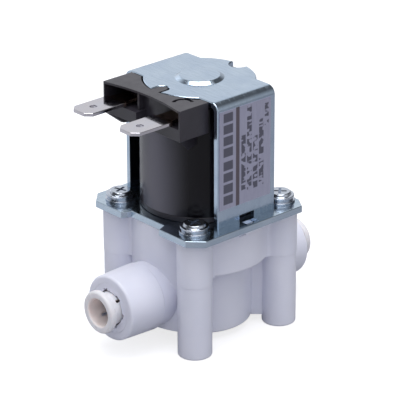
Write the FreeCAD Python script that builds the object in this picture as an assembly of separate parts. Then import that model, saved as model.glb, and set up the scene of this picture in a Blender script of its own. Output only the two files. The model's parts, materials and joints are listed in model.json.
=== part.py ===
"""Quick-connect water solenoid valve, normally closed, pilot operated.

Millimetres, +Z up.  The origin is on the valve axis, in the plane of the four feet.
Water enters at -X and leaves at +X; the label plate of the yoke faces -Y.
"""
import FreeCAD
import Part
import math
import os

os.makedirs("parts", exist_ok=True)

# ---------------------------------------------------------------- driving dimensions
GAP = 0.03                 # assembly gap between pieces that are fixed to each other
OVER = 1.0                 # how far a cutting shape passes the face it cuts
FAR = 60.0                 # past the whole valve

# tube fittings
TUBE_R = 3.175             # 1/4 inch (6.35 mm) tube
PORT_Z = 11.4              # height of both ports
PORT_BORE_R = TUBE_R + 0.05
BARREL_END_X = 27.1        # end face of the fitting barrel
BARREL_R = 7.6
BARREL_ROOT_R = 7.9
BARREL_ROUND = 0.6
BARREL_ROOT_X = 17.8
BARREL_NECK_R = 7.6        # from the barrel's root to the body
PORT_BLOCK_Y = 9.0
CAP_R = 5.8                # retainer cap pressed into the barrel
CAP_X = 22.6
LIP_R = 4.15               # cap's inner lip, which closes the collet's fingers
LIP_X = 26.3
CAP_NOTCH_W = 1.5
CAP_NOTCHES = 6
GROOVE_R = 5.1             # tube O-ring groove
GROOVE_X = 20.4
SOCKET_R = TUBE_R + 0.1
SOCKET_X = 13.0            # where the pushed-in tube stops
PASSAGE_R = 2.3
INLET_RISE_X = 7.5         # upright passage from the inlet to the ring round the seat
TUBE_SEAL_IN_R = 3.02      # tube O-ring, inside radius before the tube stretches it
COLLET_END_X = 30.7
COLLET_FLANGE_R = 4.95
COLLET_FLANGE_T = 1.5
COLLET_R = 3.85
COLLET_HEAD_R = 4.5
COLLET_NOSE_X = 24.4
COLLET_SLIT = 0.7
COLLET_SLIT_L = 3.2
GRIP_X = COLLET_NOSE_X + 0.5   # grip ring, held in a groove of the collet's head
GRIP_T = 0.5
GRIP_DEPTH = 0.75
TOOTH_GAP = 0.3
TOOTH_L = 0.3

# valve body
FOOT_X = 12.94             # screw posts, which are also the feet
FOOT_Y = 12.50
POST_R = 4.0
FOOT_R = 3.9
BODY_TOP = 28.34
CHAMBER_R = 15.7
CHAMBER_Z = 17.6           # lower edge of the wide diaphragm chamber
WELL_R = 11.7              # narrower lower cylinder
WELL_Z = 1.8
RIB_T = 2.2
PORT_BLOCK_Z = 3.9
WEB_ROUND = 1.0            # concave round between a post and the chamber
BLOCK_ROUND = 0.7
PIP_X = 1.6                # locating pip in a slot of the base plate
PIP_Y0 = 16.0
PIP_Y1 = 17.4
LUG_WALL = 0.7             # lug that carries the pip
LUG_TIP_T = 0.7
LUG_ROOT_T = 2.6

# diaphragm stack
SEAT_Z = 21.0
SEAT_R = 4.4
SEAT_BORE_R = 3.2
LEDGE_Z = 21.4
CAVITY_R = 12.6
MOAT_R = 10.6
MOAT_Z = CHAMBER_Z + 0.6
BEAD_R = 12.5
BEAD_IN_R = 10.9
BEAD_H = 2.0
PAD_R = 6.4
PAD_TOP = 22.6
BLEED_R = 0.4
BLEED_AT = 7.6
HUB_Z = 19.4
HUB_R = 6.3
NECK_R = 2.6
PILOT_R = 0.5
BONNET_TOP = BODY_TOP - 0.04
HUB_TOP = 24.3
BONNET_Z = 26.0            # roof of the pilot chamber
PILOT_ROOM_R = 9.4
TUBE_SEAT_Z = 27.5
TUBE_SEAT_R = 7.7
TUBE_SEAL_R = 5.75         # O-ring under the guide tube's flange
TUBE_SEAL_T = 0.78
TUBE_SEAL_Z = 26.7

# steel frame
PLATE_T = 1.6
PLATE_X = 18.0             # edge under the terminals
PLATE_FAR_X = 16.4         # opposite edge
PLATE_Y = 18.35
PLATE_CHAMFER = 3.2
FAR_CHAMFER_X = 2.1        # the far corners are cut less along X
PLATE_NOTCH_X = 15.8
PLATE_NOTCH_Y = 5.5
PLATE_TOP = BODY_TOP + PLATE_T
PIP_TOP = PLATE_TOP - 0.9
EDGE_ROUND = 0.2           # tumbled edges of the stampings
YOKE_TOP = 59.4
YOKE_T = 1.2
YOKE_HALF_X = 8.6
YOKE_Y = 15.35
YOKE_DISC_R = 12.6
YOKE_BEND_R = 2.1
RIM_ROUND = 0.3            # pressed edge of the round top
RIM_GAP = 0.35             # from the round top to the housing's roof
KEY_X = 10.7               # rounded keyway over the housing, filled by the bobbin's key
KEY_Y = 0.45
KEY_R = 1.6
KEY_GAP = 0.4
OPEN_KEY_X = 12.0          # wider keyway at the other side, left open
OPEN_KEY_Y = 0.3
OPEN_KEY_R = 2.1
BOSS_R = 5.6
BOSS_TOP_R = 4.5
BOSS_H = 0.65
BOSS_ROUND = 0.45
TAB_X = 6.3                # riveted tabs of the yoke in the base plate
TAB_W = 3.0
WINDOW_X0 = -2.1           # small window at the foot of each yoke side
WINDOW_X1 = 2.3
WINDOW_TOP = PLATE_TOP + 1.6

# magnetic core
TUBE_IN_R = 4.05
TUBE_OUT_R = 4.45
TUBE_FLANGE_R = 7.6
TUBE_TOP = YOKE_TOP - YOKE_T + BOSS_H - 0.1
PLUNGER_R = 3.97
PLUNGER_LIFT = 1.8
PLUNGER_TOP = 44.2
PLUNGER_FLUTE_W = 1.2
PLUNGER_FLUTE_D = 0.6
SEAL_R = 2.2
SEAL_TOP = 26.2
CORE_Z = PLUNGER_TOP + PLUNGER_LIFT + 0.1
SPRING_SEAT_Z = 36.2
SPRING_R = 1.95
SPRING_WIRE = 0.5
SPRING_TURNS = 8

# coil
COIL_R = 13.6
WINDING_R = 12.3
BOBBIN_IN_R = TUBE_OUT_R + 0.1
BOBBIN_CORE_R = 5.5
BOBBIN_Z = PLATE_TOP + 0.04
BOBBIN_TOP = YOKE_TOP - YOKE_T - 0.06
FLANGE_T = 1.3

# terminal housing and blades
HOUSING_X = 17.25
HOUSING_BACK_X = 9.0
HOUSING_Y = 12.75
HOUSING_Z = 52.2
HOUSING_TOP = YOKE_TOP - 0.05
HOUSING_WALL = 0.5
BAY_FLOOR_Z = 55.0
BAY_ROOF_Z = 58.85
BAY_BACK_R = 14.5          # the bays' back wall is coaxial with the coil
RIB_Y0 = 2.3               # wall between the bays
RIB_Y1 = 2.9
RIB_LIFT = 0.7             # the wall ends this far above the housing's foot
GAP_Y0 = -3.5              # the floor is open between these two
GAP_Y1 = 1.7
ROOF_SAG = 1.5             # how deep the roof's front edge is hollowed
WIRE_SLOT_X = 13.1         # curved slot in the roof for the coil wire
WIRE_SLOT_Y = 9.1
WIRE_SLOT_R = 2.45
WIRE_SLOT_IN_R = 1.65
WIRE_SLOT_DEPTH = 1.3
ROOF_CUT_Y = 7.3           # past here the roof stands back from the yoke
ROOF_CUT = 1.2
GUSSET_X = 17.2
GUSSET_Y = 12.6
GUSSET_KNEE_X = 13.5
GUSSET_KNEE_Y = 11.2
GUSSET_DROP = 3.2
GUSSET_T = 0.6
BLADE_Y = 7.75
BLADE_W = 6.35
BLADE_T = 0.8
BLADE_Z = 55.8
BLADE_TIP_X = 28.5
BLADE_HOLE_X = 24.3
BLADE_NECK_X = 17.6        # inside this the blade is narrower
BLADE_NECK = 0.8
BLADE_ROOT_X = 10.6
BLADE_HOLE_R = 0.85
BLADE_CUT = 1.45           # cut corners of the tip
BLADE_ROUND = 0.15

# screws and washers
SCREW_R = 1.5
SCREW_LEN = 14.0
HEAD_R = 3.25              # built-in washer of the head
HEAD_FLANGE_T = 0.4
PAN_R = 2.4
HEAD_H = 1.1
RECESS_R = 1.55
RECESS_W = 0.6
RECESS_D = 0.7
WASHER_R = 3.45
WASHER_T = 0.45
LOCK_R = 3.0
LOCK_T = 0.7
LOCK_Z = PLATE_TOP + WASHER_T
HEAD_Z = LOCK_Z + LOCK_T

# label
LABEL_T = 0.1
LABEL_X0 = -8.2
LABEL_X1 = 7.1
LABEL_Z0 = 34.2
LABEL_Z1 = 57.4

Z = FreeCAD.Vector(0, 0, 1)
X = FreeCAD.Vector(1, 0, 0)
ORIGIN = FreeCAD.Vector(0, 0, 0)


# ---------------------------------------------------------------- helpers
def vec(x, y, z):
    return FreeCAD.Vector(x, y, z)


def cyl(radius, z0, z1, x=0.0, y=0.0):
    """Upright cylinder between two heights."""
    return Part.makeCylinder(radius, z1 - z0, vec(x, y, z0), Z)


def ring(outer, inner, z0, z1, x=0.0, y=0.0):
    """Upright tube between two heights."""
    return cyl(outer, z0, z1, x, y).cut(cyl(inner, z0 - 1, z1 + 1, x, y))


def box(x0, x1, y0, y1, z0, z1):
    return Part.makeBox(x1 - x0, y1 - y0, z1 - z0, vec(x0, y0, z0))


def outline(points, place):
    """Closed face through points; a third value in a point rounds that corner."""
    corners = [place(point[0], point[1]) for point in points]
    runs = []
    for index, here in enumerate(corners):
        radius = points[index][2] if len(points[index]) > 2 else 0
        if radius == 0:
            runs.append((here, None, here))
            continue
        back = (corners[index - 1] - here).normalize()
        ahead = (corners[(index + 1) % len(corners)] - here).normalize()
        half = back.getAngle(ahead) / 2
        reach = radius / math.tan(half)
        inward = (back + ahead).normalize()
        middle = here + inward * (radius / math.sin(half) - radius)
        runs.append((here + back * reach, middle, here + ahead * reach))
    edges = []
    for index, (start, middle, end) in enumerate(runs):
        if middle is not None:
            edges.append(Part.Arc(start, middle, end).toShape())
        following = runs[(index + 1) % len(runs)][0]
        if end.distanceToPoint(following) > 1e-6:
            edges.append(Part.LineSegment(end, following).toShape())
    return Part.Face(Part.Wire(edges))


def turned(profile, x=0.0, y=0.0):
    """Solid of revolution about an upright axis from (radius, height) points."""
    face = outline(profile, lambda r, z: vec(x + r, y, z))
    return face.revolve(vec(x, y, 0), Z, 360)


def port_turned(profile):
    """Solid of revolution about the outlet axis from (x, radius) points."""
    face = outline(profile, lambda along, r: vec(along, 0, PORT_Z + r))
    return face.revolve(vec(0, 0, PORT_Z), X, 360)


def port_cyl(radius, x0, x1):
    return Part.makeCylinder(radius, x1 - x0, vec(x0, 0, PORT_Z), X)


def prism(points, z0, z1):
    """Upright prism over a plan outline."""
    return outline(points, lambda x, y: vec(x, y, z0)).extrude(vec(0, 0, z1 - z0))


def turn_round(shape):
    """The same shape on the inlet side."""
    copy = shape.copy()
    copy.rotate(ORIGIN, Z, 180)
    return copy


def at_corners(make, x=FOOT_X, y=FOOT_Y):
    return [make(sx * x, sy * y) for sx in (-1, 1) for sy in (-1, 1)]


def mirrored(side, near, far):
    """The two limits of a span on one side of the middle, in rising order."""
    return sorted((side * near, side * far))


def fuse(shapes):
    solid = shapes[0].multiFuse(shapes[1:])
    return solid.removeSplitter()


def round_edges(solid, radius, wanted):
    """Rounds the edges whose bounding box passes the test."""
    return solid.makeFillet(radius, [edge for edge in solid.Edges if wanted(edge.BoundBox)])


def drill(solid, tools):
    for tool in tools:
        solid = solid.cut(tool)
    return solid


def save(name, shape):
    shape.exportStep("parts/%s.step" % name)
    print("%-22s solids %d  volume %9.1f  valid %s"
          % (name, len(shape.Solids), shape.Volume, shape.isValid()))


# ---------------------------------------------------------------- valve body
def barrel():
    """Outside of one fitting, slightly tapered, on a short neck."""
    return port_turned([
        (8.0, 0.0), (8.0, BARREL_NECK_R), (BARREL_ROOT_X - 0.3, BARREL_NECK_R, 0.2),
        (BARREL_ROOT_X, BARREL_ROOT_R, 0.25), (BARREL_END_X, BARREL_R, BARREL_ROUND),
        (BARREL_END_X, 0.0)])


def socket():
    """Stepped bore of one fitting: cap seat, O-ring groove, tube socket, passage."""
    return port_turned([
        (BARREL_END_X + 1, 0.0), (BARREL_END_X + 1, CAP_R + GAP), (CAP_X, CAP_R + GAP),
        (CAP_X, GROOVE_R), (GROOVE_X, GROOVE_R), (GROOVE_X, SOCKET_R),
        (SOCKET_X, SOCKET_R), (SOCKET_X, PASSAGE_R), (SOCKET_X - 1, PASSAGE_R),
        (SOCKET_X - 1, 0.0)])


def locating_pip(side):
    """Small block on a lug of the body that keys into a slot of the base plate."""
    root = side * (CHAMBER_R - 1.0)
    tip = side * (PIP_Y1 + 0.3)
    half = PIP_X + LUG_WALL
    wedge = outline([(root, BODY_TOP), (tip, BODY_TOP), (tip, BODY_TOP - LUG_TIP_T),
                     (root, BODY_TOP - LUG_ROOT_T)], lambda y, z: vec(-half, y, z))
    near, far = mirrored(side, PIP_Y0, PIP_Y1)
    pip = box(-PIP_X, PIP_X, near, far, BODY_TOP - 0.5, PIP_TOP)
    return wedge.extrude(vec(2 * half, 0, 0)).fuse(pip)


def groove_webs(x, y):
    """Two concave rounds that fill the grooves between a post and the chamber."""
    post = vec(x, y, 0)
    reach = post.Length
    chamber_leg = CHAMBER_R + WEB_ROUND
    post_leg = POST_R + WEB_ROUND
    cosine = (reach ** 2 + chamber_leg ** 2 - post_leg ** 2) / (2 * reach * chamber_leg)
    webs = []
    for side in (-1, 1):
        angle = math.atan2(y, x) + side * math.acos(cosine)
        centre = vec(math.cos(angle), math.sin(angle), 0) * chamber_leg
        on_chamber = centre * (CHAMBER_R / chamber_leg)
        on_post = post + (centre - post) * (POST_R / post_leg)
        plan = [on_chamber * 0.95, on_chamber, centre, on_post, post]
        web = prism([(point.x, point.y) for point in plan], CHAMBER_Z, BODY_TOP)
        webs.append(web.cut(cyl(WEB_ROUND, 0, 40, centre.x, centre.y)))
    return webs


def valve_body():
    """White moulding: diaphragm chamber, lower well, two fittings and four posts."""
    def post(x, y):
        return turned([(0, 0), (FOOT_R, 0, 0.45), (FOOT_R, CHAMBER_Z), (POST_R, CHAMBER_Z + 0.1),
                       (POST_R, BODY_TOP), (0, BODY_TOP)], x, y)

    def rib(x, y):
        length = math.hypot(x, y)
        plate = box(WELL_R - OVER, length, -RIB_T / 2, RIB_T / 2, WELL_Z, CHAMBER_Z)
        plate.rotate(ORIGIN, Z, math.degrees(math.atan2(y, x)))
        return plate

    chamber = turned([
        (0, WELL_Z), (WELL_R, WELL_Z, 0.5), (WELL_R, CHAMBER_Z, 0.8), (CHAMBER_R, CHAMBER_Z, 0.6),
        (CHAMBER_R, BODY_TOP), (0, BODY_TOP)])
    block = cyl(CHAMBER_R, PORT_BLOCK_Z, CHAMBER_Z + OVER)
    block = block.common(box(-FAR, FAR, -PORT_BLOCK_Y, PORT_BLOCK_Y, 0, FAR))
    block = round_edges(block, BLOCK_ROUND, lambda edge: edge.ZLength > 10 and edge.YLength < 0.01
                        and abs(edge.YMin) > PORT_BLOCK_Y - 0.01)
    outside = [chamber, block, barrel(), turn_round(barrel())]
    outside += at_corners(post) + at_corners(rib)
    outside += [web for pair in at_corners(groove_webs) for web in pair]
    outside += [locating_pip(-1), locating_pip(1)]
    body = fuse(outside)

    cavity = cyl(CAVITY_R, LEDGE_Z, BODY_TOP + OVER)
    moat = ring(MOAT_R, SEAT_R, MOAT_Z, LEDGE_Z + OVER)
    above_seat = cyl(MOAT_R, SEAT_Z, LEDGE_Z + OVER)
    outlet_well = cyl(SEAT_BORE_R, PORT_Z - PASSAGE_R, SEAT_Z + OVER)
    outlet_run = port_cyl(PASSAGE_R, 0, SOCKET_X)
    inlet_run = turn_round(port_cyl(PASSAGE_R, INLET_RISE_X - 0.5, SOCKET_X))
    inlet_rise = cyl(PASSAGE_R, PORT_Z - PASSAGE_R, MOAT_Z + OVER, -INLET_RISE_X, 0)
    pilots = at_corners(lambda x, y: cyl(SCREW_R + GAP, BODY_TOP - SCREW_LEN, FAR, x, y))
    return drill(body, [cavity, moat, above_seat, outlet_well, outlet_run, inlet_run, inlet_rise,
                        socket(), turn_round(socket())] + pilots)


# ---------------------------------------------------------------- fittings
def retainer_cap():
    """Pressed ring that keeps the collet in, with a cone that closes its fingers."""
    cap = port_turned([
        (BARREL_END_X, LIP_R), (BARREL_END_X, CAP_R), (CAP_X + 0.02, CAP_R),
        (CAP_X + 0.02, COLLET_HEAD_R + 0.35), (LIP_X - 0.3, COLLET_HEAD_R + 0.2), (LIP_X, LIP_R)])
    notches = []
    for index in range(CAP_NOTCHES):
        notch = box(LIP_X - OVER, BARREL_END_X + OVER, -CAP_NOTCH_W / 2, CAP_NOTCH_W / 2,
                    PORT_Z, PORT_Z + LIP_R + 0.45)
        notch.rotate(vec(0, 0, PORT_Z), X, 20 + index * 360 / CAP_NOTCHES)
        notches.append(notch)
    return drill(cap, notches)


def collet():
    """Sliding collet: push flange, thin sleeve and a split head."""
    nose = COLLET_NOSE_X
    head_x = LIP_X - 0.35
    flange_x = COLLET_END_X - COLLET_FLANGE_T
    body = port_turned([
        (COLLET_END_X, PORT_BORE_R, 0.45), (COLLET_END_X, COLLET_FLANGE_R, 0.55),
        (flange_x, COLLET_FLANGE_R, 0.3),
        (flange_x, COLLET_R), (head_x, COLLET_R), (head_x - 0.4, COLLET_HEAD_R),
        (nose + 0.5, COLLET_HEAD_R), (nose, COLLET_HEAD_R - 0.4), (nose, PORT_BORE_R)])
    teeth_seat = port_cyl(PORT_BORE_R + GRIP_DEPTH, GRIP_X, GRIP_X + GRIP_T)
    slits = []
    for angle in (45, 135):
        slit = box(nose - OVER, nose + COLLET_SLIT_L, -COLLET_SLIT / 2, COLLET_SLIT / 2,
                   PORT_Z - FAR, PORT_Z + FAR)
        slit.rotate(vec(0, 0, PORT_Z), X, angle)
        slits.append(slit)
    return drill(body, [teeth_seat] + slits)


def grip_ring():
    """Stainless ring of four toothed segments, one in each collet finger."""
    x0 = GRIP_X + GAP
    x1 = GRIP_X + GRIP_T - GAP
    rim = PORT_BORE_R + GRIP_DEPTH - 0.05
    body = port_turned([(x0, PORT_BORE_R), (x1, PORT_BORE_R), (x1, rim), (x0, rim)])
    gaps = []
    for index in range(16):
        at_slit = index % 4 == 0
        half = COLLET_SLIT / 2 + 0.15 if at_slit else TOOTH_GAP / 2
        depth = COLLET_HEAD_R + OVER if at_slit else PORT_BORE_R + TOOTH_L
        gap = box(x0 - OVER, x1 + OVER, -half, half, PORT_Z, PORT_Z + depth)
        gap.rotate(vec(0, 0, PORT_Z), X, 45 + index * 360 / 16)
        gaps.append(gap)
    return drill(body, gaps)


def tube_o_ring():
    section = (GROOVE_R - TUBE_SEAL_IN_R) / 2
    ring_x = (CAP_X + GROOVE_X) / 2
    return Part.makeTorus(GROOVE_R - section - 0.02, section, vec(ring_x, 0, PORT_Z), X)


# ---------------------------------------------------------------- diaphragm and bonnet
def diaphragm_membrane():
    """Rubber disc: clamped bead, thin rolling web and a thick seat pad."""
    under = SEAT_Z + 0.02
    ledge = LEDGE_Z + 0.02
    disc = turned([
        (NECK_R + 0.05, under), (PAD_R, under), (PAD_R + 0.5, 21.8), (8.3, 21.9), (9.2, 21.5),
        (10.3, 21.9), (BEAD_IN_R, 21.6), (BEAD_IN_R, ledge), (BEAD_R, ledge, 0.3),
        (BEAD_R, LEDGE_Z + BEAD_H, 0.3), (BEAD_IN_R, LEDGE_Z + BEAD_H, 0.3), (BEAD_IN_R, PAD_TOP),
        (10.3, PAD_TOP), (9.2, 22.2), (8.3, PAD_TOP), (NECK_R + 0.05, PAD_TOP)])
    bleeds = [cyl(BLEED_R, 0, FAR, BLEED_AT * math.cos(angle), BLEED_AT * math.sin(angle))
              for angle in (0.6, 3.7)]
    return drill(disc, bleeds)


def diaphragm_hub():
    """Rigid insert that carries the pilot nozzle."""
    plate_z = PAD_TOP + 0.02
    body = turned([
        (PILOT_R, HUB_Z), (NECK_R, HUB_Z), (NECK_R, plate_z), (HUB_R, plate_z), (HUB_R, 23.6, 0.3),
        (2.2, 23.6, 0.3), (1.1, HUB_TOP, 0.1), (PILOT_R, HUB_TOP)])
    guide_z = HUB_Z + 1.6
    vanes = [box(-FAR, FAR, -0.4, 0.4, 0, guide_z), box(-0.4, 0.4, -FAR, FAR, 0, guide_z)]
    return drill(body, vanes)


def bonnet():
    """Nylon disc over the diaphragm; its recess is the pilot chamber."""
    rim_z = LEDGE_Z + BEAD_H + 0.02
    bore = PLUNGER_R + 0.12
    seal_out = TUBE_SEAL_R + 0.85
    seal_in = TUBE_SEAL_R - 0.85
    return turned([
        (bore, BONNET_Z), (PILOT_ROOM_R, BONNET_Z, 0.5), (PILOT_ROOM_R, rim_z), (BEAD_R, rim_z),
        (BEAD_R, BONNET_TOP), (TUBE_SEAT_R, BONNET_TOP), (TUBE_SEAT_R, TUBE_SEAT_Z),
        (seal_out, TUBE_SEAT_Z), (seal_out, TUBE_SEAL_Z), (seal_in, TUBE_SEAL_Z),
        (seal_in, TUBE_SEAT_Z), (bore, TUBE_SEAT_Z)])


def bonnet_o_ring():
    half = TUBE_SEAL_T / 2
    return Part.makeTorus(TUBE_SEAL_R, half, vec(0, 0, TUBE_SEAL_Z + half), Z)


def guide_tube():
    """Drawn stainless tube with a clamped foot flange and a closed dome end."""
    wall = TUBE_OUT_R - TUBE_IN_R
    foot_z = TUBE_SEAT_Z + GAP
    foot_top = BODY_TOP - 0.09
    return turned([
        (TUBE_IN_R, foot_z, 0.3), (TUBE_FLANGE_R, foot_z), (TUBE_FLANGE_R, foot_top),
        (TUBE_OUT_R + 0.5, foot_top), (TUBE_OUT_R, foot_top + 0.5), (TUBE_OUT_R, TUBE_TOP, 1.2),
        (0, TUBE_TOP), (0, TUBE_TOP - wall), (TUBE_IN_R, TUBE_TOP - wall, 0.8)])


def fixed_core():
    """Iron stop at the closed end of the tube."""
    top = TUBE_TOP - 0.45
    r = TUBE_IN_R - 0.01
    return turned([(0, CORE_Z), (r, CORE_Z, 0.3), (r, top, 0.9), (0, top)])


def plunger():
    """Sliding iron core with a spring pocket above and a seal pocket below."""
    face = HUB_TOP + 0.35
    pocket_r = SPRING_R + SPRING_WIRE
    body = turned([
        (0, SEAL_TOP), (SEAL_R + 0.02, SEAL_TOP), (SEAL_R + 0.02, face), (PLUNGER_R - 0.5, face),
        (PLUNGER_R, face + 0.5), (PLUNGER_R, PLUNGER_TOP, 0.3), (pocket_r, PLUNGER_TOP),
        (pocket_r, SPRING_SEAT_Z), (0, SPRING_SEAT_Z)])
    flutes = []
    for angle in (0, 120, 240):
        flute = box(PLUNGER_R - PLUNGER_FLUTE_D, PLUNGER_R + OVER,
                    -PLUNGER_FLUTE_W / 2, PLUNGER_FLUTE_W / 2, 0, FAR)
        flute.rotate(ORIGIN, Z, angle)
        flutes.append(flute)
    return drill(body, flutes)


def plunger_seal():
    """Rubber disc that closes the pilot nozzle."""
    face = HUB_TOP + 0.04
    return turned([(0, face), (SEAL_R, face, 0.2), (SEAL_R, SEAL_TOP - 0.02), (0, SEAL_TOP - 0.02)])


def plunger_spring():
    """Compression spring between the plunger's pocket and the fixed core."""
    z0 = SPRING_SEAT_Z + SPRING_WIRE / 2 + 0.02
    height = CORE_Z - SPRING_SEAT_Z - SPRING_WIRE - 0.06
    helix = Part.makeLongHelix(height / SPRING_TURNS, height, SPRING_R)
    helix.translate(vec(0, 0, z0))
    start = helix.Edges[0].Vertexes[0].Point
    circle = Part.Wire(Part.makeCircle(SPRING_WIRE / 2, start, FreeCAD.Vector(0, 1, 0)))
    return Part.Wire(helix.Edges).makePipeShell([circle], True, True)


# ---------------------------------------------------------------- steel frame
def base_plate():
    """Zinc-plated plate that clamps the bonnet and carries the coil frame."""
    c = PLATE_CHAMFER
    n = PLATE_NOTCH_Y
    notched = [(-PLATE_X + c, PLATE_Y), (-PLATE_X, PLATE_Y - c), (-PLATE_X, n + 0.9),
               (-PLATE_NOTCH_X - 0.8, n + 0.3), (-PLATE_NOTCH_X, n)]
    plain = [(PLATE_FAR_X, PLATE_Y - c), (PLATE_FAR_X - FAR_CHAMFER_X, PLATE_Y)]
    half = plain + notched
    plan = half + [(x, -y) for x, y in reversed(half)]
    plate = prism(plan, BODY_TOP, PLATE_TOP)
    plate = round_edges(plate, EDGE_ROUND, lambda b: b.ZMax - b.ZMin < 0.01)
    holes = at_corners(lambda x, y: cyl(SCREW_R + 0.3, 0, FAR, x, y))
    hole_r = TUBE_OUT_R + 0.12
    sink = 0.63
    holes.append(cyl(hole_r, 0, FAR))
    holes.append(Part.makeCone(hole_r + sink, hole_r, sink, vec(0, 0, BODY_TOP), Z))
    for side in (-1, 1):
        y0, y1 = mirrored(side, PIP_Y0 - 0.15, PIP_Y1 + 0.15)
        holes.append(box(-PIP_X - 0.15, PIP_X + 0.15, y0, y1, 0, FAR))
        y0, y1 = mirrored(side, YOKE_Y - YOKE_T - GAP, YOKE_Y + GAP)
        for x in (-TAB_X, TAB_X):
            holes.append(box(x - TAB_W / 2 - GAP, x + TAB_W / 2 + GAP, y0, y1, 0, FAR))
    return drill(plate, holes)


def keyway(x, y, radius, z0, z1):
    """Round-ended slot that runs out through the rim of the round top."""
    x0, x1 = sorted((x, math.copysign(YOKE_DISC_R + OVER, x)))
    return cyl(radius, z0, z1, x, y).fuse(box(x0, x1, y - radius, y + radius, z0, z1))


def yoke_outer_edge(edge):
    """True for the outside edges of the bent strap and of its round top."""
    far_x = max(abs(edge.XMin), abs(edge.XMax))
    far_y = max(abs(edge.YMin), abs(edge.YMax))
    on_rim = edge.ZMin > YOKE_TOP - 0.01 and edge.ZLength < 0.01 and edge.XMin * edge.XMax > 0
    on_side = edge.XLength < 0.01 and far_y > YOKE_Y - 0.01 and edge.ZMax > YOKE_TOP - 3
    return far_x > YOKE_HALF_X - 0.01 and (on_rim or on_side)


def coil_yoke():
    """Bent steel strap over the coil, with a round top and a raised boss."""
    in_y = YOKE_Y - YOKE_T
    under = YOKE_TOP - YOKE_T
    bend_in = YOKE_BEND_R - YOKE_T
    section = outline([
        (YOKE_Y, PLATE_TOP), (YOKE_Y, YOKE_TOP, YOKE_BEND_R), (-YOKE_Y, YOKE_TOP, YOKE_BEND_R),
        (-YOKE_Y, PLATE_TOP), (-in_y, PLATE_TOP), (-in_y, under, bend_in),
        (in_y, under, bend_in), (in_y, PLATE_TOP)], lambda y, z: vec(-YOKE_HALF_X, y, z))
    strap = section.extrude(vec(2 * YOKE_HALF_X, 0, 0))
    boss = turned([
        (0, under + 0.5), (BOSS_R + 1, under + 0.5), (BOSS_R + 1, YOKE_TOP),
        (BOSS_R, YOKE_TOP, BOSS_ROUND), (BOSS_TOP_R, YOKE_TOP + BOSS_H, BOSS_ROUND),
        (0, YOKE_TOP + BOSS_H)])
    bend_y = YOKE_Y - YOKE_BEND_R - OVER
    bulge = cyl(YOKE_DISC_R, under, YOKE_TOP).common(box(-FAR, FAR, -bend_y, bend_y, 0, FAR + OVER))
    tabs = []
    windows = []
    for side in (-1, 1):
        y0, y1 = mirrored(side, in_y, YOKE_Y)
        tabs += [box(x - TAB_W / 2, x + TAB_W / 2, y0, y1, BODY_TOP + 0.3, PLATE_TOP + 1)
                 for x in (-TAB_X, TAB_X)]
        windows.append(box(WINDOW_X0, WINDOW_X1, y0 - OVER, y1 + OVER,
                           PLATE_TOP - OVER, WINDOW_TOP))
    keyways = [keyway(-KEY_X, KEY_Y, KEY_R, under - OVER, YOKE_TOP + OVER),
               keyway(OPEN_KEY_X, OPEN_KEY_Y, OPEN_KEY_R, under - OVER, YOKE_TOP + OVER)]
    dimple = Part.makeCone(BOSS_R - 0.6, BOSS_TOP_R, BOSS_H, vec(0, 0, under), Z)
    yoke = drill(fuse([strap, bulge, boss] + tabs), [dimple] + keyways + windows)
    return round_edges(yoke, RIM_ROUND, yoke_outer_edge)


# ---------------------------------------------------------------- coil
def terminal_housing():
    """Two-bay shroud under the top plate, wrapped round the coil."""
    shell = box(-HOUSING_X, -HOUSING_BACK_X, -HOUSING_Y, HOUSING_Y, HOUSING_Z, HOUSING_TOP)
    shell = round_edges(shell, 0.15, lambda edge: edge.XMin < -HOUSING_BACK_X - 0.01)
    above = HOUSING_TOP + OVER
    chord = HOUSING_Y - 0.8
    sag_r = (chord ** 2 + ROOF_SAG ** 2) / (2 * ROOF_SAG)
    scoop = cyl(sag_r, BAY_FLOOR_Z, above, -HOUSING_X - sag_r + ROOF_SAG, 0)
    back_wall = cyl(BAY_BACK_R, 0, above)
    inner_y = HOUSING_Y - HOUSING_WALL
    bay_x = -HOUSING_BACK_X - HOUSING_WALL
    bays = [box(-HOUSING_X - OVER, bay_x, y0, y1, z0, BAY_ROOF_Z).cut(back_wall)
            for y0, y1, z0 in ((-inner_y, inner_y, BAY_FLOOR_Z),
                               (GAP_Y0, GAP_Y1, HOUSING_Z - OVER))]
    rib_x = -HOUSING_X + ROOF_SAG
    rib = box(rib_x, -BAY_BACK_R + OVER, RIB_Y0, RIB_Y1, HOUSING_Z + RIB_LIFT, HOUSING_TOP)
    under_yoke = cyl(YOKE_DISC_R + RIM_GAP, BOBBIN_TOP, above)
    corner = cyl(YOKE_DISC_R + ROOF_CUT, BOBBIN_TOP, above)
    corner = corner.common(box(-FAR, 0, -FAR, -ROOF_CUT_Y, 0, FAR + OVER))
    slot = ring(WIRE_SLOT_R, WIRE_SLOT_IN_R, HOUSING_TOP - WIRE_SLOT_DEPTH, above,
                -WIRE_SLOT_X, -WIRE_SLOT_Y)
    front_left = [(-WIRE_SLOT_X - 1.7, -WIRE_SLOT_Y + 1.9), (-HOUSING_X - 3, -WIRE_SLOT_Y + 2),
                  (-HOUSING_X - 3, -HOUSING_Y - 5), (-WIRE_SLOT_X + 2.3, -HOUSING_Y - 5),
                  (-WIRE_SLOT_X + 2.3, -WIRE_SLOT_Y - 1.4)]
    slot = slot.cut(prism(front_left, HOUSING_Z, above + OVER))
    return drill(shell, [scoop, under_yoke, corner, slot] + bays).fuse(rib)


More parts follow.
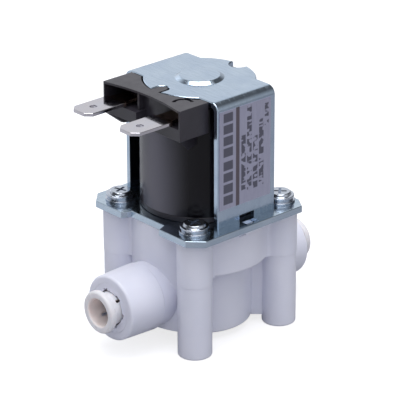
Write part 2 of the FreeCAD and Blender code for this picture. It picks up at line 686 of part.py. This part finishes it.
def gusset(side):
    """Thin sloping web that props the housing on the coil."""
    low = HOUSING_Z - GUSSET_DROP
    high = HOUSING_Z + 0.5
    tip = (-GUSSET_X, side * GUSSET_Y)
    knee = (-GUSSET_KNEE_X, side * GUSSET_KNEE_Y)
    root = (-HOUSING_BACK_X - 0.4, side * (GUSSET_KNEE_Y - 1.5))
    plate = Part.Face(Part.makePolygon([
        vec(*tip, high), vec(*tip, HOUSING_Z - 0.1), vec(*knee, low), vec(*knee, high),
        vec(*tip, high)]))
    level = Part.Face(Part.makePolygon([
        vec(*knee, high), vec(*knee, low), vec(*root, low), vec(*root, high),
        vec(*knee, high)]))
    inward = vec(GUSSET_T / 2, -side * GUSSET_T, 0)
    return plate.extrude(inward).fuse(level.extrude(inward))


def blade_plan(side, clearance):
    """Plan of one quick-connect blade, optionally grown for its slot."""
    y0 = side * BLADE_Y - BLADE_W / 2 - clearance
    y1 = side * BLADE_Y + BLADE_W / 2 + clearance
    tip = -BLADE_TIP_X
    root = -BLADE_ROOT_X + clearance
    neck = -BLADE_NECK_X
    return [(root, y0 + BLADE_NECK), (root, y1 - BLADE_NECK), (neck, y1 - BLADE_NECK), (neck, y1),
            (tip + BLADE_CUT, y1), (tip, y1 - BLADE_CUT), (tip, y0 + BLADE_CUT),
            (tip + BLADE_CUT, y0), (neck, y0), (neck, y0 + BLADE_NECK)]


def terminal(side):
    """Tinned blade with a locking hole, its root curved to clear the coil."""
    blade = prism(blade_plan(side, 0), BLADE_Z, BLADE_Z + BLADE_T)
    blade = round_edges(blade, BLADE_ROUND, lambda edge: edge.ZLength < 0.01)
    return drill(blade, [cyl(BLADE_HOLE_R, 0, FAR, -BLADE_HOLE_X, side * BLADE_Y),
                         cyl(COIL_R + 2 * GAP, 0, FAR)])


def coil_bobbin():
    """Bobbin moulding: core, two flanges, terminal housing and the top key."""
    core = cyl(BOBBIN_CORE_R, BOBBIN_Z, BOBBIN_TOP)
    lower = turned([
        (0, BOBBIN_Z), (COIL_R, BOBBIN_Z, 0.25), (COIL_R, BOBBIN_Z + FLANGE_T, 0.25),
        (0, BOBBIN_Z + FLANGE_T)])
    upper = cyl(YOKE_DISC_R - 0.1, BOBBIN_TOP - FLANGE_T, BOBBIN_TOP)
    key = keyway(-KEY_X, KEY_Y, KEY_R - KEY_GAP, BOBBIN_TOP - OVER, HOUSING_TOP)
    room = cyl(COIL_R + GAP, BOBBIN_Z + FLANGE_T, BOBBIN_TOP - FLANGE_T)
    outer = fuse([terminal_housing(), gusset(-1), gusset(1)]).cut(room)
    bobbin = fuse([core, lower, upper, outer, key])
    slots = [prism(blade_plan(side, GAP), BLADE_Z - GAP, BLADE_Z + BLADE_T + GAP)
             for side in (-1, 1)]
    return drill(bobbin, [cyl(BOBBIN_IN_R, 0, FAR + OVER)] + slots)


def coil_winding():
    return ring(WINDING_R, BOBBIN_CORE_R + GAP, BOBBIN_Z + FLANGE_T + GAP,
                BOBBIN_TOP - FLANGE_T - GAP)


def coil_jacket():
    """Glossy black sleeve over the winding."""
    return ring(COIL_R, WINDING_R + GAP, BOBBIN_Z + FLANGE_T + GAP, BOBBIN_TOP - FLANGE_T - GAP)


# ---------------------------------------------------------------- fasteners and label
def plate_screw(x, y):
    """Washer-head thread-forming screw with a cross recess."""
    flange_top = HEAD_Z + HEAD_FLANGE_T
    dome = turned([
        (0, HEAD_Z), (HEAD_R, HEAD_Z, 0.1), (HEAD_R, flange_top, 0.12),
        (PAN_R + 0.2, flange_top + 0.1, 0.1), (PAN_R, HEAD_Z + HEAD_H, 0.3),
        (0, HEAD_Z + HEAD_H)])
    shank = cyl(SCREW_R, HEAD_Z - SCREW_LEN + 0.5, HEAD_Z + 0.1)
    floor = HEAD_Z + HEAD_H - RECESS_D
    half = RECESS_W / 2
    recess = [box(-RECESS_R, RECESS_R, -half, half, floor, FAR),
              box(-half, half, -RECESS_R, RECESS_R, floor, FAR)]
    screw = drill(dome.fuse(shank), recess)
    screw.rotate(ORIGIN, Z, 30 + 8 * x)
    screw.translate(vec(x, y, 0))
    return screw


def lock_washer(x, y):
    """Split spring washer."""
    washer = ring(LOCK_R, SCREW_R + 0.2, LOCK_Z, LOCK_Z + LOCK_T)
    washer = washer.cut(box(0, LOCK_R + OVER, -0.25, 0.25, 0, FAR))
    washer.rotate(ORIGIN, Z, 230 + 10 * y)
    washer.translate(vec(x, y, 0))
    return washer


def flat_washer(x, y):
    return turned([
        (SCREW_R + 0.15, PLATE_TOP), (WASHER_R, PLATE_TOP, 0.1), (WASHER_R, LOCK_Z, 0.1),
        (SCREW_R + 0.15, LOCK_Z)], x, y)


def label():
    """Plain silver label on the -Y face of the yoke."""
    return box(LABEL_X0, LABEL_X1, -YOKE_Y - LABEL_T, -YOKE_Y, LABEL_Z0, LABEL_Z1)


# ---------------------------------------------------------------- write every sub-part
def main():
    save("valve_body", valve_body())
    save("base_plate", base_plate())
    save("coil_yoke", coil_yoke())
    save("coil_bobbin", coil_bobbin())
    save("coil_winding", coil_winding())
    save("coil_jacket", coil_jacket())
    save("terminal_left", terminal(1))
    save("terminal_right", terminal(-1))
    save("plate_screws", Part.makeCompound(at_corners(plate_screw)))
    save("lock_washers", Part.makeCompound(at_corners(lock_washer)))
    save("flat_washers", Part.makeCompound(at_corners(flat_washer)))
    save("label", label())
    save("bonnet", bonnet())
    save("bonnet_o_ring", bonnet_o_ring())
    save("guide_tube", guide_tube())
    save("fixed_core", fixed_core())
    save("plunger", plunger())
    save("plunger_seal", plunger_seal())
    save("plunger_spring", plunger_spring())
    save("diaphragm_membrane", diaphragm_membrane())
    save("diaphragm_hub", diaphragm_hub())
    for name, place in (("outlet", lambda shape: shape), ("inlet", turn_round)):
        save(name + "_retainer_cap", place(retainer_cap()))
        save(name + "_collet", place(collet()))
        save(name + "_grip_ring", place(grip_ring()))
        save(name + "_o_ring", place(tube_o_ring()))


main()
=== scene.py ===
"""Visual model of a quick-connect water solenoid valve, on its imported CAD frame.

Metres, +Z up.  The feet stand on z = 0, the label plate faces -Y and the inlet -X.
"""
import json
import math

import bpy
from mathutils import Matrix, Vector


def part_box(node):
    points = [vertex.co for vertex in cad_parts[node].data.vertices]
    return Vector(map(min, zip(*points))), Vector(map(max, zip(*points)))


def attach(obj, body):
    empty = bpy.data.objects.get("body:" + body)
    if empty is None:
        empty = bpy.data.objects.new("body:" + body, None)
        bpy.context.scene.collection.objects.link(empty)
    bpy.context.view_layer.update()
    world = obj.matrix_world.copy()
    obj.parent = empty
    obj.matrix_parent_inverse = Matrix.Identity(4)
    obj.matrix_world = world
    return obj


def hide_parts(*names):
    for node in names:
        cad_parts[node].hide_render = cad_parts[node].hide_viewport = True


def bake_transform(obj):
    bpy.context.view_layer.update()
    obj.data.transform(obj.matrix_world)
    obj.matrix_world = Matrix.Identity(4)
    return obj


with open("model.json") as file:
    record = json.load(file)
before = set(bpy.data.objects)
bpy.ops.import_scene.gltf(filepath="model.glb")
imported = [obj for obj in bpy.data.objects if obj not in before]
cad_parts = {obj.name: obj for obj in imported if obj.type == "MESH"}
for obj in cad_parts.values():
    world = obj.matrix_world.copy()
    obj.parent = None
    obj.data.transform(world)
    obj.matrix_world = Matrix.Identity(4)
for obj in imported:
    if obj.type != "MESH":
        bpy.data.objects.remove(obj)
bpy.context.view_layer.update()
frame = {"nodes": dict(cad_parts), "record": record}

MM = 0.001

# Push-in ports
PORT_LOW, PORT_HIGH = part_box("inlet_grip_ring")
PORT_Z = (PORT_LOW[2] + PORT_HIGH[2]) / 2
BORE_R = 3.3 * MM

# Label print, in millimetres along X and Z
DIVIDER = (-3.3, -2.25)
BLOCK_COLUMN = (-7.0, -4.2)
BLOCK_BOTTOMS = (35.3, 38.0, 40.7, 43.4, 46.6, 49.3, 52.0, 54.7)
BLOCK_H = 2.1
BLOCK_INK = 0.8                   # how far the ink covers the foil
DASH_COLUMNS = (                  # each column's limits along X, then along Z
    ((-1.7, -0.4), (37.4, 50.4)), ((0.0, 1.4), (37.1, 56.9)), ((1.8, 3.2), (37.0, 49.4)),
    ((3.6, 5.0), (37.0, 53.0)), ((5.3, 6.5), (51.0, 56.2)))

# Plunger spring, in millimetres and turns
SPRING_WIRE = 0.5
SPRING_TURNS = 8
DEAD_TURNS = 0.8                  # closed turns at each end
DEAD_PITCH = 0.53
TURN_STEPS = 40
WIRE_SIDES = 12

# Diaphragm, in millimetres
HUB_HOLE_R = 2.65
PAD_FOOT_R = 6.2
PAD_STEP_R = 6.9                  # the pad's foot slopes up to the sheet out to here
WEB_IN_R = 8.3                    # the rolling web lies between these two radii
WEB_OUT_R = 10.3
BEAD_IN_R = 10.9
SHEET_BELOW_TOP = 0.8             # from the bead's top down to the sheet's upper face
SHEET_T = 0.72
WEB_DIP = 0.4
WEB_STEPS = 12
WEB_SECTORS = 12
SECTOR_STEPS = 10

# Stage, in metres and watts
FLOOR_SIZE = 12
FLOOR_LIFT = 0.76                 # extra brightness of the floor in the camera's view
WORLD_BASE = 0.11                 # brightness of the surroundings between the glows
GLOWS = (                         # direction, cosines where it starts and is full, strength
    ((0.55, 0.78, 0.36), 0.80, 0.96, 0.80), ((-0.25, 0.93, 0.25), 0.75, 0.95, 0.80),
    ((-0.10, -0.95, 0.15), 0.35, 0.95, 0.62), ((-0.45, -0.40, 0.80), 0.80, 0.97, 1.1))
TOP_LIGHT_PLACE = (-0.02, -0.04, 0.8)
TOP_LIGHT_SIZE = 0.66
TOP_LIGHT_POWER = 6.5
LIGHT_AIM = (0, 0, 0.03)

# Camera, in degrees and metres
CAMERA_AZIMUTH = -42.085
CAMERA_ELEVATION = 23.352
CAMERA_ROLL = -0.175
CAMERA_DISTANCE = 605.4 * MM
CAMERA_TARGET = (0, 0, 29.72 * MM)
CAMERA_LENS = 241.15              # millimetres, on a sensor 36 wide


# ---------------------------------------------------------------- material tools
class Finish:
    """One procedural material: a Principled shader and the nodes that feed it."""

    def __init__(self, name, colour, roughness, **sockets):
        self.material = bpy.data.materials.new(name)
        self.material.use_nodes = True
        self.tree = self.material.node_tree
        self.shader = self.tree.nodes["Principled BSDF"]
        self.shader.inputs["Base Color"].default_value = (*colour, 1)
        self.shader.inputs["Roughness"].default_value = roughness
        for socket, value in sockets.items():
            self.shader.inputs[socket.replace("_", " ")].default_value = value
        self.place = self.tree.nodes.new("ShaderNodeTexCoord").outputs["Object"]
        self.last_bump = None

    def put(self, target, value):
        """Gives an input a value, or links another node's output to it."""
        if isinstance(value, bpy.types.NodeSocket):
            self.tree.links.new(value, target)
        else:
            target.default_value = value

    def node(self, kind, **inputs):
        """Adds a node; an input is a value or another node's output."""
        node = self.tree.nodes.new("ShaderNode" + kind)
        for socket, value in inputs.items():
            self.put(node.inputs[socket.replace("_", " ")], value)
        return node

    def axis(self, letter):
        """One coordinate of the point being shaded, in metres."""
        split = self.node("SeparateXYZ", Vector=self.place)
        return split.outputs[letter]

    def noise(self, size, detail=3.0, stretch=(1, 1, 1), distortion=0.0):
        """Noise with features of about this size in metres; a small stretch draws them out."""
        mapping = self.node("Mapping", Vector=self.place, Scale=stretch)
        noise = self.node("TexNoise", Vector=mapping.outputs["Vector"], Scale=1 / size,
                          Detail=detail, Distortion=distortion)
        return noise.outputs["Fac"]

    def ranged(self, value, low, high, start=0.3, end=0.7):
        """Goes from low to high as the value goes from start to end."""
        mapped = self.node("MapRange", Value=value, From_Min=start, From_Max=end, To_Min=low,
                           To_Max=high)
        return mapped.outputs["Result"]

    def math(self, operation, a, b=0.0):
        """Result of one operation on two numbers or outputs."""
        node = self.node("Math")
        node.operation = operation
        self.put(node.inputs[0], a)
        self.put(node.inputs[1], b)
        return node.outputs[0]

    def mixed(self, factor, first, second):
        """Colour between two colours or colour outputs."""
        node = self.node("Mix")
        node.data_type = "RGBA"
        self.put(node.inputs[0], factor)
        for target, value in ((node.inputs[6], first), (node.inputs[7], second)):
            self.put(target, (*value, 1) if isinstance(value, tuple) else value)
        return node.outputs[2]

    def feed(self, socket, output):
        """Links an output to the shader."""
        self.tree.links.new(output, self.shader.inputs[socket])

    def bump(self, height, depth, strength=1.0):
        """Adds relief of this depth in metres on top of the relief so far."""
        node = self.node("Bump", Height=height, Distance=depth, Strength=strength)
        if self.last_bump:
            self.tree.links.new(self.last_bump, node.inputs["Normal"])
        self.last_bump = node.outputs["Normal"]
        self.feed("Normal", self.last_bump)


def moulded(name, colour, shade, roughness, grain=0.25 * MM, relief=0.004 * MM, **sockets):
    """Moulded plastic: slow drift of tone, a fine grain and uneven gloss."""
    finish = Finish(name, colour, roughness, **sockets)
    drift = finish.noise(9 * MM, detail=2)
    finish.feed("Base Color", finish.mixed(finish.ranged(drift, 0, 1), colour, shade))
    gloss = finish.noise(2.2 * MM, detail=5)
    finish.feed("Roughness", finish.ranged(gloss, roughness - 0.05, roughness + 0.07))
    finish.bump(finish.noise(6 * MM, detail=1), 0.06 * MM, 0.35)
    finish.bump(finish.noise(grain, detail=4), relief)
    return finish


def metal(name, colour, shade, roughness, brush=(1, 1, 1), relief=0.003 * MM, **sockets):
    """Metal with drifting tone, fine rolling or drawing marks along one way, and scuffs."""
    finish = Finish(name, colour, roughness, Metallic=1.0, **sockets)
    drift = finish.noise(5 * MM, detail=3, distortion=0.4)
    marks = finish.noise(0.35 * MM, detail=4, stretch=brush)
    tone = finish.mixed(finish.ranged(drift, 0, 1), colour, shade)
    darker = tuple(0.82 * part for part in shade)
    finish.feed("Base Color", finish.mixed(finish.ranged(marks, 0, 0.4), tone, darker))
    finish.feed("Roughness", finish.ranged(marks, roughness - 0.06, roughness + 0.10))
    finish.bump(finish.noise(4 * MM, detail=1), 0.02 * MM, 0.4)
    finish.bump(marks, relief)
    return finish


# ---------------------------------------------------------------- materials
def white_moulding():
    return moulded("white_moulding", (0.77, 0.775, 0.88), (0.72, 0.73, 0.845), 0.36,
                   Subsurface_Weight=0.15, Subsurface_Radius=(1.0, 0.9, 0.85),
                   Subsurface_Scale=0.8 * MM)


def collet_moulding():
    """Whiter acetal of the collets; the bore turns warm where light soaks in."""
    finish = moulded("collet_moulding", (0.77, 0.76, 0.80), (0.72, 0.71, 0.75), 0.30,
                     Subsurface_Weight=0.5, Subsurface_Radius=(1.0, 0.85, 0.8),
                     Subsurface_Scale=1.6 * MM)
    height = finish.math("SUBTRACT", finish.axis("Z"), PORT_Z)
    squares = [finish.math("MULTIPLY", part, part) for part in (finish.axis("Y"), height)]
    reach = finish.math("SQRT", finish.math("ADD", *squares))
    drift = finish.noise(3 * MM, detail=2)
    outside = finish.mixed(drift, (0.77, 0.76, 0.80), (0.72, 0.71, 0.75))
    inside = finish.mixed(drift, (0.92, 0.83, 0.82), (0.86, 0.76, 0.74))
    wall = finish.ranged(reach, 0, 1, start=BORE_R, end=BORE_R + 0.3 * MM)
    finish.feed("Base Color", finish.mixed(wall, inside, outside))
    return finish


def blue_zinc():
    return metal("blue_zinc", (0.53, 0.63, 0.74), (0.46, 0.56, 0.69), 0.17, brush=(1, 0.08, 0.08))


def zinc_plate():
    return metal("zinc_plate", (0.55, 0.64, 0.73), (0.47, 0.57, 0.68), 0.17, brush=(0.1, 1, 1))


def screw_zinc():
    return metal("screw_zinc", (0.60, 0.64, 0.71), (0.50, 0.54, 0.62), 0.15)


def housing_black():
    return moulded("housing_black", (0.032, 0.029, 0.038), (0.022, 0.020, 0.028), 0.33,
                   grain=0.18 * MM, relief=0.008 * MM)


def coil_film():
    """Glossy black film, greyed on the side below the terminals by a painted sheen that stands in
    for the reflection of the bright floor.
    """
    finish = Finish("coil_film", (0.005, 0.004, 0.006), 0.16, Specular_IOR_Level=0.25)
    shade = finish.noise(8 * MM, detail=2)
    film = finish.mixed(finish.ranged(shade, 0, 1), (0.005, 0.0045, 0.007), (0.003, 0.0025, 0.004))
    # Painted reflection: the film's colour is greyed towards -X, where the coil mirrors the bright
    # floor.
    painted_sheen = finish.ranged(finish.axis("X"), 1, 0, start=-13.9 * MM, end=-10.5 * MM)
    painted_sheen = finish.math("MULTIPLY", painted_sheen, painted_sheen)
    finish.feed("Base Color", finish.mixed(painted_sheen, film, (0.15, 0.145, 0.18)))
    finish.feed("Roughness", finish.ranged(finish.noise(3 * MM, detail=4), 0.14, 0.26))
    finish.bump(finish.noise(5 * MM, detail=2, stretch=(1, 1, 0.25)), 0.03 * MM, 0.5)
    finish.bump(finish.noise(0.5 * MM, detail=3), 0.002 * MM)
    return finish


def tinned_brass():
    """Bright tin with warm patches, worn through to brass at the blades' necks."""
    tin, brass = (0.57, 0.56, 0.61), (0.74, 0.55, 0.40)
    finish = Finish("tinned_brass", tin, 0.1, Metallic=1.0)
    drift = finish.noise(3 * MM, detail=3, distortion=0.5)
    along = finish.math("MULTIPLY", finish.axis("X"), 1 / MM)
    neck = finish.ranged(finish.math("ADD", along, drift), 0, 1, start=-18.4, end=-17.2)
    patchy = finish.ranged(drift, 0, 0.12)
    warmth = finish.math("MAXIMUM", neck, patchy)
    finish.feed("Base Color", finish.mixed(warmth, tin, brass))
    marks = finish.noise(0.3 * MM, detail=3, stretch=(0.08, 1, 1))
    finish.feed("Roughness", finish.ranged(marks, 0.06, 0.14))
    finish.bump(finish.noise(2.5 * MM, detail=1), 0.01 * MM, 0.4)
    finish.bump(marks, 0.0012 * MM)
    return finish


def stripe(finish, along, low, high, soft=0.08):
    """1 where a coordinate in millimetres lies between two limits, with soft edges."""
    rise = finish.ranged(along, 0, 1, start=low - soft, end=low + soft)
    fall = finish.ranged(along, 1, 0, start=high - soft, end=high + soft)
    return finish.math("MULTIPLY", rise, fall)


def patch(finish, x, z, columns, rows):
    """1 inside a rectangle of the label."""
    return finish.math("MULTIPLY", stripe(finish, x, *columns), stripe(finish, z, *rows))


def either(finish, masks):
    """1 where any of the masks is 1."""
    whole = masks[0]
    for mask in masks[1:]:
        whole = finish.math("MAXIMUM", whole, mask)
    return whole


def label_blocks(finish, x, z):
    """Plain blocks in one row up the label."""
    blocks = either(finish, [patch(finish, x, z, BLOCK_COLUMN, (bottom, bottom + BLOCK_H))
                             for bottom in BLOCK_BOTTOMS])
    return finish.math("MULTIPLY", blocks, BLOCK_INK)


def label_dashes(finish, x, z):
    """Columns of short dashes that spell nothing."""
    columns = either(finish, [patch(finish, x, z, *limits) for limits in DASH_COLUMNS])
    speckle = finish.noise(0.75 * MM, detail=0, stretch=(0.55, 1, 1))
    dashes = finish.ranged(speckle, 0, 0.8, start=0.44, end=0.52)
    return finish.math("MULTIPLY", columns, dashes)


def label_foil():
    """Lilac silver label: a dark dividing bar, a row of blocks and columns of short dashes."""
    silver = (0.42, 0.42, 0.54)
    finish = Finish("label_foil", silver, 0.34, Metallic=0.55)
    x = finish.math("MULTIPLY", finish.axis("X"), 1 / MM)
    z = finish.math("MULTIPLY", finish.axis("Z"), 1 / MM)
    grain = finish.noise(0.3 * MM, detail=3, stretch=(1, 1, 0.1))
    paper = finish.mixed(finish.ranged(grain, 0, 1), silver, (0.38, 0.38, 0.50))
    ground = finish.mixed(stripe(finish, x, *DIVIDER), paper, (0.13, 0.11, 0.13))
    print_mask = either(finish, [label_blocks(finish, x, z), label_dashes(finish, x, z)])
    finish.feed("Base Color", finish.mixed(print_mask, ground, (0.05, 0.05, 0.07)))
    finish.feed("Roughness", finish.ranged(grain, 0.30, 0.42))
    finish.bump(grain, 0.002 * MM)
    return finish


def rubber():
    return moulded("rubber_black", (0.018, 0.018, 0.019), (0.028, 0.028, 0.030), 0.62,
                   relief=0.006 * MM)


def nylon():
    return moulded("nylon_natural", (0.62, 0.58, 0.50), (0.55, 0.51, 0.43), 0.45,
                   Subsurface_Weight=0.2, Subsurface_Scale=0.8 * MM)


def stainless():
    return metal("stainless", (0.60, 0.59, 0.57), (0.52, 0.51, 0.50), 0.20, brush=(1, 1, 0.08))


def core_iron():
    return metal("core_iron", (0.50, 0.50, 0.50), (0.42, 0.42, 0.43), 0.30, brush=(0.1, 0.1, 1))


def copper_wire():
    return metal("copper_wire", (0.62, 0.26, 0.12), (0.52, 0.20, 0.09), 0.26, brush=(0.1, 0.1, 1))


FINISHES = {
    "body_plastic": white_moulding, "collet_plastic": collet_moulding, "zinc_steel": blue_zinc,
    "screw_steel": screw_zinc, "black_plastic": housing_black, "jacket_black": coil_film,
    "copper_wire": copper_wire, "tinned_brass": tinned_brass, "label_foil": label_foil,
    "nylon": nylon, "rubber": rubber, "stainless": stainless, "core_steel": core_iron,
}
MATERIALS = {slot: make().material for slot, make in FINISHES.items()}
SLOTS = {row["node"]: row["material_slot"] for row in frame["record"]["subparts"]}


def finish_cad_nodes():
    """Gives every CAD node its slot's material; the base plate's grain runs across."""
    for name, piece in frame["nodes"].items():
        for slot in piece.material_slots:
            slot.material = MATERIALS[SLOTS[name]]
    for slot in frame["nodes"]["base_plate"].material_slots:
        slot.material = zinc_plate().material


# ---------------------------------------------------------------- spring and diaphragm pieces
def new_piece(name, points, faces, node):
    """Mesh object that stands for a CAD node and takes its material."""
    mesh = bpy.data.meshes.new(name)
    mesh.from_pydata(points, [], faces)
    mesh.shade_smooth()
    mesh.set_sharp_from_angle(angle=math.radians(40))
    mesh.materials.append(MATERIALS[SLOTS[node]])
    piece = bpy.data.objects.new(name, mesh)
    bpy.context.scene.collection.objects.link(piece)
    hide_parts(node)
    return piece


def skin(rings, closed):
    """Faces between rings of points; an open row of rings gets two end faces."""
    count = len(rings[0])
    last = len(rings) if closed else len(rings) - 1
    faces = []
    for row in range(last):
        here = row * count
        ahead = (row + 1) % len(rings) * count
        for side in range(count):
            after = (side + 1) % count
            faces.append((here + side, here + after, ahead + after, ahead + side))
    if not closed:
        faces.append(tuple(reversed(range(count))))
        faces.append(tuple(range(last * count, (last + 1) * count)))
    return faces


def turned(name, profile, node, start=0.0, sweep=360.0, steps=120):
    """Solid of revolution, or a sector of one, from (radius, height) points in millimetres."""
    closed = sweep == 360.0
    rings = []
    for step in range(steps if closed else steps + 1):
        angle = math.radians(start + sweep * step / steps)
        rings.append([(r * math.cos(angle) * MM, r * math.sin(angle) * MM, z * MM)
                      for r, z in profile])
    points = [point for ring in rings for point in ring]
    return new_piece(name, points, skin(rings, closed), node)


def spring_height(turn, height):
    """Rise of the wire after this many turns, with closed turns at both ends."""
    live_pitch = (height - 2 * DEAD_TURNS * DEAD_PITCH) / (SPRING_TURNS - 2 * DEAD_TURNS)
    live = min(max(turn - DEAD_TURNS, 0), SPRING_TURNS - 2 * DEAD_TURNS)
    return live * live_pitch + (turn - live) * DEAD_PITCH


def plunger_spring():
    """Round-wire plunger spring, with closed turns at both ends."""
    low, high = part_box("plunger_spring")
    wire = SPRING_WIRE / 2
    radius = high[0] / MM - wire
    bottom = low[2] / MM + wire
    height = high[2] / MM - wire - bottom
    rings = []
    for step in range(SPRING_TURNS * TURN_STEPS + 1):
        turn = step / TURN_STEPS
        angle = 2 * math.pi * turn
        outward = Vector((math.cos(angle), math.sin(angle), 0))
        centre = radius * outward + Vector((0, 0, bottom + spring_height(turn, height)))
        ring = []
        for side in range(WIRE_SIDES):
            around = 2 * math.pi * side / WIRE_SIDES
            point = centre + wire * (math.cos(around) * outward
                                     - math.sin(around) * Vector((0, 0, 1)))
            ring.append(tuple(point * MM))
        rings.append(ring)
    points = [point for ring in rings for point in ring]
    spring = new_piece("spring_wire", points, skin(rings, False), "plunger_spring")
    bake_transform(spring)


def web_side(level):
    """(radius, height) points along one face of the web, with its rolled groove."""
    side = []
    for step in range(WEB_STEPS + 1):
        part = step / WEB_STEPS
        groove = 0.5 - 0.5 * math.cos(2 * math.pi * part)
        side.append((WEB_IN_R + part * (WEB_OUT_R - WEB_IN_R), level - WEB_DIP * groove))
    return side


def diaphragm_bead(node, under, top, rim):
    """Outer part of the diaphragm, clamped between the bonnet and the body."""
    face = top - SHEET_BELOW_TOP
    web = face - SHEET_T
    bead = turned("diaphragm_bead", [
        (WEB_OUT_R, web), (BEAD_IN_R, web - 0.25), (BEAD_IN_R, under + 0.4),
        (rim - 0.3, under + 0.4), (rim, under + 0.7), (rim, top - 0.3), (rim - 0.3, top),
        (BEAD_IN_R + 0.3, top), (BEAD_IN_R, top - 0.3), (BEAD_IN_R, face), (WEB_OUT_R, face)],
        node)
    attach(bead, "valve")


def diaphragm_pad(node, under, top):
    """Middle of the diaphragm, which lifts with its hub."""
    face = top - SHEET_BELOW_TOP
    web = face - SHEET_T
    pad = turned("diaphragm_pad", [
        (HUB_HOLE_R, under), (PAD_FOOT_R, under), (PAD_FOOT_R + 0.25, under + 0.2),
        (PAD_STEP_R, web), (WEB_IN_R, web), (WEB_IN_R, face), (HUB_HOLE_R, face)], node)
    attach(pad, "diaphragm")


def diaphragm_web(node, top):
    """Sectors of the web, each one turned from the same profile between the bead and the pad."""
    face = top - SHEET_BELOW_TOP
    profile = web_side(face - SHEET_T) + list(reversed(web_side(face)))
    sweep = 360 / WEB_SECTORS
    for index in range(WEB_SECTORS):
        sector = turned("diaphragm_web_%d" % index, profile, node, index * sweep, sweep,
                        SECTOR_STEPS)
        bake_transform(sector)


def diaphragm():
    """Rubber diaphragm: clamped bead, lifting pad, and a web that rolls between them."""
    node = "diaphragm_membrane"
    low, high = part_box(node)
    under, top, rim = low[2] / MM, high[2] / MM, high[0] / MM
    diaphragm_bead(node, under, top, rim)
    diaphragm_pad(node, under, top)
    diaphragm_web(node, top)


# ---------------------------------------------------------------- stage
def white_floor():
    """Pale floor, burnt out to white for the camera; it bounces less light from the +X -Y side."""
    bpy.ops.mesh.primitive_plane_add(size=FLOOR_SIZE)
    floor = bpy.context.object
    floor.name = "floor"
    finish = Finish("floor_paper", (0.6, 0.6, 0.6), 0.8)
    paper = finish.noise(4 * MM, detail=4)
    pale = finish.mixed(paper, (0.56, 0.57, 0.60), (0.54, 0.55, 0.58))
    across = finish.math("SUBTRACT", finish.axis("X"), finish.axis("Y"))
    bounce = finish.ranged(across, 0, 1, start=-120 * MM, end=0)
    finish.feed("Base Color", finish.mixed(bounce, pale, (0.32, 0.32, 0.345)))
    finish.shader.inputs["Emission Color"].default_value = (1, 1, 1, 1)
    seen = finish.node("LightPath").outputs["Is Camera Ray"]
    finish.feed("Emission Strength", finish.math("MULTIPLY", seen, FLOOR_LIFT))
    floor.data.materials.append(finish.material)


def top_light():
    """Square softbox overhead, turned towards the valve."""
    light = bpy.data.lights.new("top", "AREA")
    light.shape = "SQUARE"
    light.size = TOP_LIGHT_SIZE
    light.energy = TOP_LIGHT_POWER
    holder = bpy.data.objects.new("top", light)
    bpy.context.scene.collection.objects.link(holder)
    holder.location = TOP_LIGHT_PLACE
    aim = Vector(LIGHT_AIM) - Vector(TOP_LIGHT_PLACE)
    holder.rotation_euler = aim.to_track_quat("-Z", "Y").to_euler()


def glow(tree, way, start, end, strength):
    """Soft round brightening of the surroundings in one direction."""
    place = tree.nodes.new("ShaderNodeTexCoord").outputs["Generated"]
    dot = tree.nodes.new("ShaderNodeVectorMath")
    dot.operation = "DOT_PRODUCT"
    tree.links.new(place, dot.inputs[0])
    dot.inputs[1].default_value = Vector(way).normalized()
    spread = tree.nodes.new("ShaderNodeMapRange")
    spread.interpolation_type = "SMOOTHSTEP"
    tree.links.new(dot.outputs["Value"], spread.inputs["Value"])
    spread.inputs["From Min"].default_value = start
    spread.inputs["From Max"].default_value = end
    spread.inputs["To Max"].default_value = strength
    return spread.outputs["Result"]


def summed(tree, outputs, start):
    """Adds node outputs to a number."""
    total = None
    for output in outputs:
        node = tree.nodes.new("ShaderNodeMath")
        tree.links.new(output, node.inputs[0])
        if total is None:
            node.inputs[1].default_value = start
        else:
            tree.links.new(total, node.inputs[1])
        total = node.outputs[0]
    return total


def studio():
    """Dim surroundings with soft glows; the camera sees them as white."""
    world = bpy.data.worlds.new("studio")
    world.use_nodes = True
    tree = world.node_tree
    background = tree.nodes["Background"]
    background.inputs["Color"].default_value = (0.95, 0.97, 1.0, 1)
    glows = [glow(tree, *shape) for shape in GLOWS]
    seen = tree.nodes.new("ShaderNodeLightPath").outputs["Is Camera Ray"]
    brightest = tree.nodes.new("ShaderNodeMath")
    brightest.operation = "MAXIMUM"
    tree.links.new(summed(tree, glows, WORLD_BASE), brightest.inputs[0])
    tree.links.new(seen, brightest.inputs[1])
    tree.links.new(brightest.outputs[0], background.inputs["Strength"])
    bpy.context.scene.world = world


def look():
    """Camera that looks at the valve from its azimuth, elevation, roll and distance."""
    azimuth = math.radians(CAMERA_AZIMUTH)
    elevation = math.radians(CAMERA_ELEVATION)
    roll = math.radians(CAMERA_ROLL)
    back = Vector((math.sin(azimuth) * math.cos(elevation),
                   -math.cos(azimuth) * math.cos(elevation), math.sin(elevation)))
    right = Vector((math.cos(azimuth), math.sin(azimuth), 0))
    up = back.cross(right)
    turned_right = math.cos(roll) * right + math.sin(roll) * up
    turned_up = math.cos(roll) * up - math.sin(roll) * right
    camera = bpy.data.cameras.new("camera")
    camera.sensor_width = 36
    camera.lens = CAMERA_LENS
    camera.clip_start = 0.01
    holder = bpy.data.objects.new("camera", camera)
    bpy.context.scene.collection.objects.link(holder)
    turn = Matrix((turned_right, turned_up, back)).transposed()
    place = Vector(CAMERA_TARGET) + CAMERA_DISTANCE * back
    holder.matrix_world = Matrix.Translation(place) @ turn.to_4x4()
    bpy.context.scene.camera = holder
    bpy.context.scene.view_settings.view_transform = "Standard"


finish_cad_nodes()
plunger_spring()
diaphragm()
white_floor()
studio()
top_light()
look()
